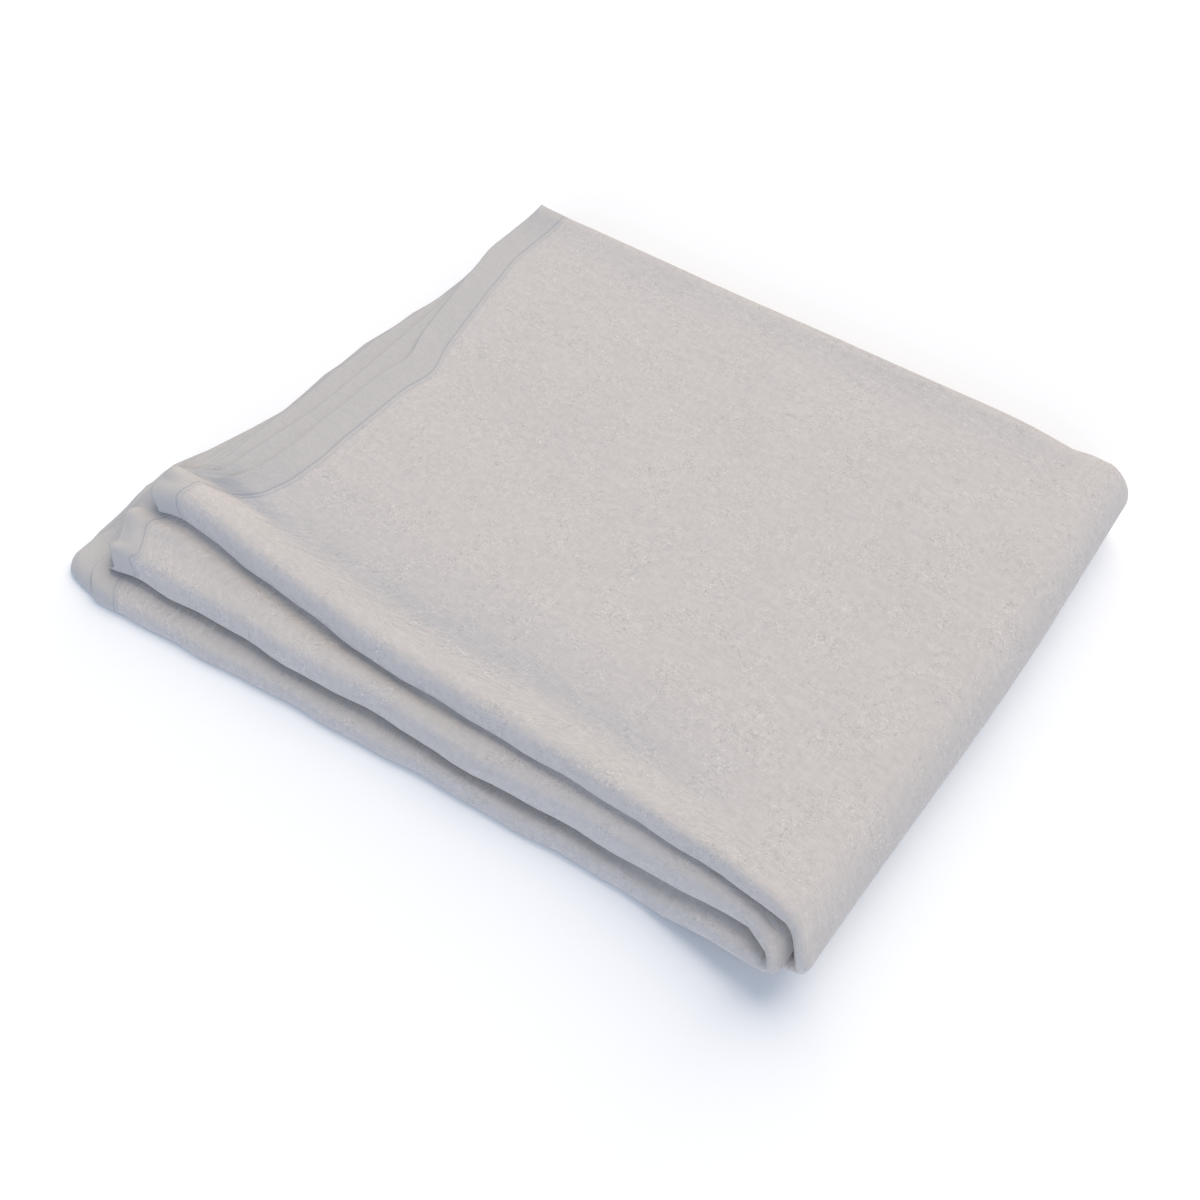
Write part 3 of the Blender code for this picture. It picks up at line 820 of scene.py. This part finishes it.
    def faces_of_cloth(self) -> tuple[Array, Array]:
        """The two faces of the cloth, half its thickness off the middle surface."""
        offset = self.normals * self.thickness[..., None] / 2
        return self.points + offset, self.points - offset

    def build(self) -> bpy.types.Object:
        """Make the closed mesh: the two faces and the rim that joins them.

        Returns:
            The cloth's object.
        """
        rows, columns = self.points.shape[:2]
        outer, inner = self.faces_of_cloth()
        points = np.concatenate([outer.reshape(-1, 3), inner.reshape(-1, 3)])
        front = grid_faces(rows, columns)
        behind = front[:, ::-1] + rows * columns
        faces = np.concatenate([front, behind, self._rim(rows, columns)])
        place = np.meshgrid(self.running_across(), self.running_along())
        uv = np.stack(place, axis=-1).reshape(-1, 2)
        cloth = make_piece("turban_cloth", points, faces, np.concatenate([uv, uv]))
        LOG.info("cloth: %d mesh lines by %d, %d quads", rows, columns, len(faces))
        return cloth

    @staticmethod
    def _rim(rows: int, columns: int) -> Array:
        """Quads round the edge, from one face of the cloth to the other."""
        index = np.arange(rows * columns).reshape(rows, columns)
        sides = (index[:-1, 0], index[-1, :-1], index[:0:-1, -1], index[0, :0:-1])
        loop = np.concatenate(sides)
        after = np.roll(loop, -1)
        other = rows * columns
        return np.stack([loop, after, after + other, loop + other], axis=-1)


@dataclass
class HemStitches:
    """Lockstitches along both hems where the bundle's outside shows them.

    Each stitch is a short spindle that lies in the groove of its hem: a ring of the given
    sides, carried along the seam and narrowed at both ends.
    """

    cloth: FoldedCloth
    pitch: float = 0.0030
    length: float = 0.0024
    thread: float = 0.00042
    sides: int = 6
    shown_depths: tuple[float, float] = (0.6, 0.3)

    def _shown_rows(self) -> Array:
        """Mesh lines on the outermost ply, the two front folds and what follows the inner one."""
        route = self.cloth.route
        depth = route.depth[:, 0]
        front = route.end[:, 0] < 0
        outermost = depth < self.shown_depths[0]
        outer_roll = front & (route.radius[:, 0] > 2.4) & (depth < self.cloth.pile.last_outer + 0.1)
        inner_roll = front & (route.radius[:, 0] > 2.4) & (depth > self.cloth.pile.last_outer + 0.9)
        middle_top = (depth == self.cloth.pile.last_outer + 1) & (route.along[:, 0] < self.shown_depths[1])
        return outermost | outer_roll | inner_roll | middle_top

    def _seams(self) -> list[tuple[Array, Array]]:
        """Lines of the seams on the outer face, and the cloth's normals along them."""
        lines = []
        shown = self._shown_rows()
        starts = np.flatnonzero(np.diff(np.concatenate([[0], shown.astype(int)])) == 1)
        ends = np.flatnonzero(np.diff(np.concatenate([shown.astype(int), [0]])) == -1)
        near = np.abs(self.cloth.from_hem[0] - SEAM_FROM_EDGE) < 1e-6
        outer = self.cloth.faces_of_cloth()[0]
        for column in np.flatnonzero(near):
            for start, end in zip(starts, ends):
                rows = slice(start, end + 1)
                lines.append((outer[rows, column], self.cloth.normals[rows, column]))
        return lines

    def _places(self) -> tuple[Array, Array, Array]:
        """Middle, direction along the seam and normal of each stitch."""
        middles, directions, normals = [], [], []
        for line, up in self._seams():
            run = running_length(line)
            at = np.arange(self.pitch, run[-1] - self.pitch, self.pitch)
            place = self._read(at, run, line)
            ahead = self._read(at + self.length / 2, run, line)
            middles.append(place)
            directions.append(unit(ahead - place))
            normals.append(unit(self._read(at, run, up)))
        return np.concatenate(middles), np.concatenate(directions), np.concatenate(normals)

    @staticmethod
    def _read(at: Array, run: Array, values: Array) -> Array:
        """Values (n, 3) of a line, read at the given lengths along it."""
        return np.stack([np.interp(at, run, values[:, k]) for k in range(3)], axis=-1)

    def build(self) -> bpy.types.Object:
        """Make all stitches as one mesh.

        Returns:
            The stitches' object.
        """
        middle, ahead, up = self._places()
        aside = unit(np.cross(up, ahead))
        up = np.cross(ahead, aside)
        steps = np.array([-0.5, -0.42, 0.0, 0.42, 0.5])[:, None, None]
        widths = np.array([0.05, 0.75, 1.0, 0.75, 0.05])[:, None, None] * self.thread / 2
        angle = np.linspace(0.0, 2 * np.pi, self.sides, endpoint=False)[None, :, None]
        ring = np.cos(angle) * aside[:, None, None] + np.sin(angle) * up[:, None, None]
        points = middle[:, None, None] + steps * self.length * ahead[:, None, None] + widths * ring
        rings = len(steps)
        index = np.arange(rings * self.sides).reshape(rings, self.sides)
        around = np.roll(index, -1, axis=1)
        sides = np.stack([index[:-1], around[:-1], around[1:], index[1:]], axis=-1).reshape(-1, 4)
        first = index[0, [0, 3, 2, 1]]
        second = index[0, [0, 5, 4, 3]]
        caps = np.stack([first, second, first[::-1] + index[-1, 0], second[::-1] + index[-1, 0]])
        one = np.concatenate([sides, caps])
        count = len(middle)
        faces = one[None] + (np.arange(count) * rings * self.sides)[:, None, None]
        uv = np.broadcast_to(np.array([[0.0, 0.0]]), (count * rings * self.sides, 2))
        stitches = make_piece("hem_stitches", points.reshape(-1, 3), faces.reshape(-1, 4), uv)
        LOG.info("hem stitches: %d", count)
        return stitches


# Finishes


def linear(hex_colour: str) -> tuple[float, float, float, float]:
    """Linear colour of an sRGB hex value such as "#cfc9c6"."""
    parts = [int(hex_colour[i:i + 2], 16) / 255 for i in (1, 3, 5)]
    red, green, blue = (p / 12.92 if p <= 0.04045 else ((p + 0.055) / 1.055) ** 2.4 for p in parts)
    return (red, green, blue, 1.0)


def add_node(tree: Any, kind: str, inputs: dict[Any, Any], **settings: Any) -> Any:
    """Add a node to a tree.

    Args:
        tree: The node tree.
        kind: The node's type, such as "ShaderNodeMath".
        inputs: What each input gets, by name or number: an output socket or a value.
        settings: The node's own settings.

    Returns:
        The node.
    """
    node = tree.nodes.new(kind)
    for name, value in settings.items():
        setattr(node, name, value)
    for name, value in inputs.items():
        if isinstance(value, bpy.types.NodeSocket):
            tree.links.new(value, node.inputs[name])
        else:
            node.inputs[name].default_value = value
    return node


def new_material(name: str) -> tuple[Any, Any, Any]:
    """A material with an empty node tree but for its output.

    Args:
        name: The material's name.

    Returns:
        The material, its node tree and its output node.
    """
    material = bpy.data.materials.new(name)
    material.use_nodes = True
    tree = material.node_tree
    tree.nodes.clear()
    return material, tree, tree.nodes.new("ShaderNodeOutputMaterial")


@dataclass(frozen=True)
class WovenCotton:
    """Plain woven cotton voile, bleached and piece dyed a pale warm grey.

    Matt, with a faint halo of loose fibres, so it has a little sheen at grazing angles. The
    threads differ in thickness, which shows as short slubs along warp and weft, and the dye
    takes unevenly, which shows as a soft mottle. Curled fibres of lint lie on the cloth. The
    hem bands are painted cooler and darker as painted shade, and the folded edge, the stitched
    groove and the turned-in edge carry three fine darker lines of painted shade.
    """

    width_mm: float
    name: str = "woven_cotton_pale_grey"
    light_colour: str = "#d0c9c4"
    dark_colour: str = "#c5bfba"
    lint: tuple[tuple[str, float, float], ...] = (("#e4dcd5", 5.6, 0.70), ("#a4a09d", 6.4, 0.58))
    lint_patch_mm: float = 26.0
    # painted shade over the hem band, up to the seam
    hem_shade_colour: str = "#bcb9b6"
    # painted shade along the hem's folded edge, its stitched groove and its turned-in edge
    line_shade_colour: str = "#a9a8ad"
    seam_mm: float = 24.4
    turned_edge_mm: float = 27.8
    thread_spacing_mm: float = 1.1
    slub_length_mm: float = 22.0
    slub_width_mm: float = 1.3
    mottle_mm: float = 5.0
    cloud_mm: float = 60.0

    def build(self) -> bpy.types.Material:
        """Make the material.

        Returns:
            The material.
        """
        material, tree, output = new_material(self.name)
        place = add_node(tree, "ShaderNodeTexCoord", {})
        cloth_mm = add_node(
            tree, "ShaderNodeMapping", {"Vector": place.outputs["UV"], "Scale": (1000.0,) * 3})
        where = cloth_mm.outputs["Vector"]
        warp = self._slubs(tree, where, (self.slub_width_mm, self.slub_length_mm))
        weft = self._slubs(tree, where, (self.slub_length_mm, self.slub_width_mm))
        slubs = add_node(tree, "ShaderNodeMath", {0: warp, 1: weft}, operation="ADD").outputs[0]
        mottle = self._noise(tree, where, self.mottle_mm, 2.5)
        cloud = self._noise(tree, where, self.cloud_mm, 2.0)
        shade = add_node(
            tree, "ShaderNodeMath", {0: slubs, 1: 0.40, 2: mottle}, operation="MULTIPLY_ADD").outputs[0]
        shade = add_node(
            tree, "ShaderNodeMath", {0: cloud, 1: 0.35, 2: shade}, operation="MULTIPLY_ADD").outputs[0]
        tone = add_node(
            tree, "ShaderNodeMapRange",
            {"Value": shade, "From Min": 0.85, "From Max": 1.35, "To Min": 0.0, "To Max": 1.0})
        colour = add_node(
            tree, "ShaderNodeMix",
            {0: tone.outputs[0], 6: linear(self.dark_colour), 7: linear(self.light_colour)},
            data_type="RGBA")
        colour = colour.outputs[2]
        # lint marks, then the painted shade of the hem band and of its three lines
        for hex_colour, amount in self._lint(tree, where) + self._painted_hem_shade(tree, where):
            colour = self._mixed(tree, colour, hex_colour, amount)
        bump = self._relief(tree, where, slubs, mottle)
        shader = add_node(
            tree, "ShaderNodeBsdfPrincipled",
            {
                "Base Color": colour,
                "Normal": bump,
                "Roughness": 0.88,
                "IOR": 1.5,
                "Specular IOR Level": 0.25,
                "Sheen Weight": 0.12,
                "Sheen Roughness": 0.5,
            })
        tree.links.new(shader.outputs["BSDF"], output.inputs["Surface"])
        return material

    @staticmethod
    def _mixed(tree: Any, colour: Any, hex_colour: str, amount: Any) -> Any:
        """The colour with a share of another one over it."""
        mixed = add_node(
            tree, "ShaderNodeMix", {0: amount, 6: colour, 7: linear(hex_colour)}, data_type="RGBA")
        return mixed.outputs[2]

    @staticmethod
    def _band(tree: Any, distance: Any, full: float, none: float, amount: float) -> Any:
        """The given amount up to the distance full, falling to 0 at the distance none."""
        band = add_node(
            tree, "ShaderNodeMapRange",
            {"Value": distance, "From Min": full, "From Max": none, "To Min": amount, "To Max": 0.0})
        return band.outputs[0]

    def _painted_hem_shade(self, tree: Any, where: Any) -> list[tuple[str, Any]]:
        """Colours and amounts of the painted shade on the hem: its band, its edge, its groove and its inner
        edge.
        """
        axes = add_node(tree, "ShaderNodeSeparateXYZ", {"Vector": where})
        from_edge = add_node(
            tree, "ShaderNodeMath", {0: axes.outputs["X"], 1: self.width_mm / 2},
            operation="PINGPONG").outputs[0]
        # painted shade: the hem band, up to the seam, is painted cooler and darker
        marks = [(self.hem_shade_colour, self._band(tree, from_edge, self.seam_mm, self.seam_mm + 6.0, 0.65))]
        # painted shade: fine darker lines along the folded edge, the stitched groove and the turned-in edge
        for place, half_width, amount in (
                (0.0, 1.7, 0.60), (self.seam_mm, 1.3, 0.50), (self.turned_edge_mm, 0.9, 0.25)):
            off = add_node(
                tree, "ShaderNodeMath", {0: from_edge, 1: place}, operation="SUBTRACT").outputs[0]
            off = add_node(tree, "ShaderNodeMath", {0: off}, operation="ABSOLUTE").outputs[0]
            marks.append((self.line_shade_colour, self._band(tree, off, 0.3, half_width, amount)))
        return marks

    def _lint(self, tree: Any, where: Any) -> list[tuple[str, Any]]:
        """Colours and amounts of thin curled lines: where a distorted noise crosses its middle.

        A second, coarse noise keeps them in patches.
        """
        patches = self._noise(tree, where, self.lint_patch_mm, 1.0)
        marks = []
        for hex_colour, size_mm, share in self.lint:
            noise = add_node(
                tree, "ShaderNodeTexNoise",
                {"Vector": where, "Scale": 1.0 / size_mm, "Detail": 2.0, "Distortion": 1.6})
            off = add_node(
                tree, "ShaderNodeMath", {0: noise.outputs["Fac"], 1: 0.5},
                operation="SUBTRACT").outputs[0]
            off = add_node(tree, "ShaderNodeMath", {0: off}, operation="ABSOLUTE").outputs[0]
            line = self._band(tree, off, 0.003, 0.020, share)
            in_patch = self._band(tree, patches, 0.42, 0.64, 1.0)
            amount = add_node(tree, "ShaderNodeMath", {0: line, 1: in_patch}, operation="MULTIPLY")
            marks.append((hex_colour, amount.outputs[0]))
        return marks

    @staticmethod
    def _noise(tree: Any, where: Any, size_mm: float, detail: float) -> Any:
        """Soft noise whose patches are about size_mm across."""
        noise = add_node(
            tree, "ShaderNodeTexNoise",
            {"Vector": where, "Scale": 1.0 / size_mm, "Detail": detail, "Roughness": 0.6})
        return noise.outputs["Fac"]

    @staticmethod
    def _slubs(tree: Any, where: Any, size_mm: tuple[float, float]) -> Any:
        """Noise drawn out to size_mm along the two thread directions."""
        stretched = add_node(
            tree, "ShaderNodeMapping",
            {"Vector": where, "Scale": (1.0 / size_mm[0], 1.0 / size_mm[1], 1.0)})
        noise = add_node(
            tree, "ShaderNodeTexNoise",
            {"Vector": stretched.outputs["Vector"], "Scale": 1.0, "Detail": 3.0})
        return noise.outputs["Fac"]

    def _relief(self, tree: Any, where: Any, slubs: Any, mottle: Any) -> Any:
        """Bump of the weave, the slubs and a soft crumple.

        A real thread is 0.3 mm wide, too fine to show, so the weave is drawn coarser.
        """
        period = 0.31416 / self.thread_spacing_mm
        threads = [
            add_node(
                tree, "ShaderNodeTexWave", {"Vector": where, "Scale": period, "Distortion": 0.6},
                wave_type="BANDS", bands_direction=axis).outputs["Fac"]
            for axis in ("X", "Y")
        ]
        weave = add_node(
            tree, "ShaderNodeMath", {0: threads[0], 1: threads[1]}, operation="MAXIMUM").outputs[0]
        crumple = self._noise(tree, where, self.mottle_mm * 2.2, 3.0)
        first = add_node(
            tree, "ShaderNodeBump", {"Height": crumple, "Distance": 0.0012, "Strength": 0.55})
        second = add_node(
            tree, "ShaderNodeBump",
            {"Height": slubs, "Distance": 0.0003, "Strength": 0.5, "Normal": first.outputs[0]})
        third = add_node(
            tree, "ShaderNodeBump",
            {"Height": weave, "Distance": 0.00008, "Strength": 0.5, "Normal": second.outputs[0]})
        return third.outputs["Normal"]


@dataclass(frozen=True)
class SewingThread:
    """Spun sewing cotton, painted a shade darker and cooler than the cloth as painted shade of the stitched
    groove.
    """

    name: str = "spun_sewing_cotton"
    # painted shade: the thread is darkened to match the painted shade in the stitched groove
    colour: str = "#b5b2b5"
    twist_mm: float = 0.5

    def build(self) -> bpy.types.Material:
        """Make the material.

        Returns:
            The material.
        """
        material, tree, output = new_material(self.name)
        place = add_node(tree, "ShaderNodeTexCoord", {})
        twist = add_node(
            tree, "ShaderNodeTexNoise",
            {"Vector": place.outputs["Object"], "Scale": 1.0 / (self.twist_mm * MM)})
        bump = add_node(
            tree, "ShaderNodeBump", {"Height": twist.outputs["Fac"], "Distance": 0.0001, "Strength": 0.4})
        shader = add_node(
            tree, "ShaderNodeBsdfPrincipled",
            {
                "Base Color": linear(self.colour),
                "Normal": bump.outputs["Normal"],
                "Roughness": 0.75,
                "Specular IOR Level": 0.3,
            })
        tree.links.new(shader.outputs["BSDF"], output.inputs["Surface"])
        return material


# Stage


@dataclass(frozen=True)
class SoftLight:
    """A wide, distant studio light: a sun lamp with a disc as wide as a near softbox looks."""

    name: str
    direction: tuple[float, float, float]
    width_degrees: float
    strength: float
    colour: tuple[float, float, float]

    def build(self) -> None:
        """Make the lamp."""
        lamp = bpy.data.lights.new(self.name, "SUN")
        lamp.angle = np.radians(self.width_degrees)
        lamp.energy = self.strength
        lamp.color = self.colour
        light = bpy.data.objects.new(self.name, lamp)
        light.rotation_euler = Vector(self.direction).to_track_quat("Z", "Y").to_euler()
        bpy.context.scene.collection.objects.link(light)


@dataclass(frozen=True)
class Studio:
    """Plain pale floor, soft light from behind and a camera at the photograph's angle."""

    floor_size: float = 60.0
    floor_colour: str = "#ffffff"
    sky_colour: tuple[float, float, float, float] = (0.72, 0.83, 1.0, 1.0)
    sky_strength: float = 0.43
    backdrop_colour: tuple[float, float, float, float] = (1.0, 1.0, 1.0, 1.0)
    backdrop_strength: float = 0.97
    lights: tuple[SoftLight, ...] = (
        SoftLight("key_light", (-0.12, 0.70, 0.60), 68.0, 3.00, (1.0, 0.91, 0.80)),
        SoftLight("front_light", (0.32, -0.87, 0.36), 40.0, 1.25, (0.66, 0.77, 1.0)),
    )
    camera_place: tuple[float, float, float] = (0.4951, -0.1645, 0.5342)
    camera_right: tuple[float, float, float] = (0.78707, 0.61687, 0.0)
    camera_up: tuple[float, float, float] = (-0.5084, 0.6486, 0.5664)
    focal_mm: float = 29.04
    sensor_mm: float = 36.0

    def build(self) -> None:
        """Make the floor, the sky, the lamps and the camera."""
        self._floor()
        self._sky()
        for light in self.lights:
            light.build()
        self._camera()

    def _floor(self) -> None:
        """A matt, nearly white floor."""
        half = self.floor_size / 2
        corners = [(-half, -half, 0.0), (half, -half, 0.0), (half, half, 0.0), (-half, half, 0.0)]
        mesh = bpy.data.meshes.new("floor")
        mesh.from_pydata(corners, [], [(0, 1, 2, 3)])
        material, tree, output = new_material("matt_paper_backdrop")
        shader = add_node(
            tree, "ShaderNodeBsdfDiffuse", {"Color": linear(self.floor_colour), "Roughness": 0.0})
        tree.links.new(shader.outputs["BSDF"], output.inputs["Surface"])
        mesh.materials.append(material)
        floor = bpy.data.objects.new("floor", mesh)
        bpy.context.scene.collection.objects.link(floor)

    def _sky(self) -> None:
        """An even, bluish sky light; the camera sees a white backdrop in its place."""
        world = bpy.data.worlds.new("studio")
        world.use_nodes = True
        tree = world.node_tree
        tree.nodes.clear()
        light = add_node(
            tree, "ShaderNodeBackground", {"Color": self.sky_colour, "Strength": self.sky_strength})
        backdrop = add_node(
            tree, "ShaderNodeBackground",
            {"Color": self.backdrop_colour, "Strength": self.backdrop_strength})
        ray = add_node(tree, "ShaderNodeLightPath", {})
        either = add_node(
            tree, "ShaderNodeMixShader",
            {0: ray.outputs["Is Camera Ray"], 1: light.outputs[0], 2: backdrop.outputs[0]})
        add_node(tree, "ShaderNodeOutputWorld", {"Surface": either.outputs[0]})
        bpy.context.scene.world = world

    def _camera(self) -> None:
        """The camera, above the spine's front end and looking down at the rolls."""
        lens = bpy.data.cameras.new("camera")
        lens.lens = self.focal_mm
        lens.sensor_width = self.sensor_mm
        right = Vector(self.camera_right).normalized()
        up = Vector(self.camera_up).normalized()
        back = right.cross(up)
        place = Vector(self.camera_place) - Vector((*PLAN_ORIGIN, 0.0))
        camera = bpy.data.objects.new("camera", lens)
        axes = Matrix((right, up, back)).transposed()
        camera.matrix_world = Matrix.Translation(place) @ axes.to_4x4()
        bpy.context.scene.collection.objects.link(camera)
        bpy.context.scene.camera = camera


def main() -> None:
    """Build the cloth and its stage."""
    logging.basicConfig(level=logging.INFO, format="%(message)s")
    bpy.context.scene.view_settings.view_transform = "Standard"
    cloth = FoldedCloth()
    piece = cloth.build()
    width_mm = float(cloth.running_across()[-1]) / MM
    piece.data.materials.append(WovenCotton(width_mm).build())
    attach(piece, "root")
    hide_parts("cloth")
    stitches = HemStitches(cloth).build()
    stitches.data.materials.append(SewingThread().build())
    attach(stitches, "root")
    Studio().build()


if __name__ == "__main__":
    main()
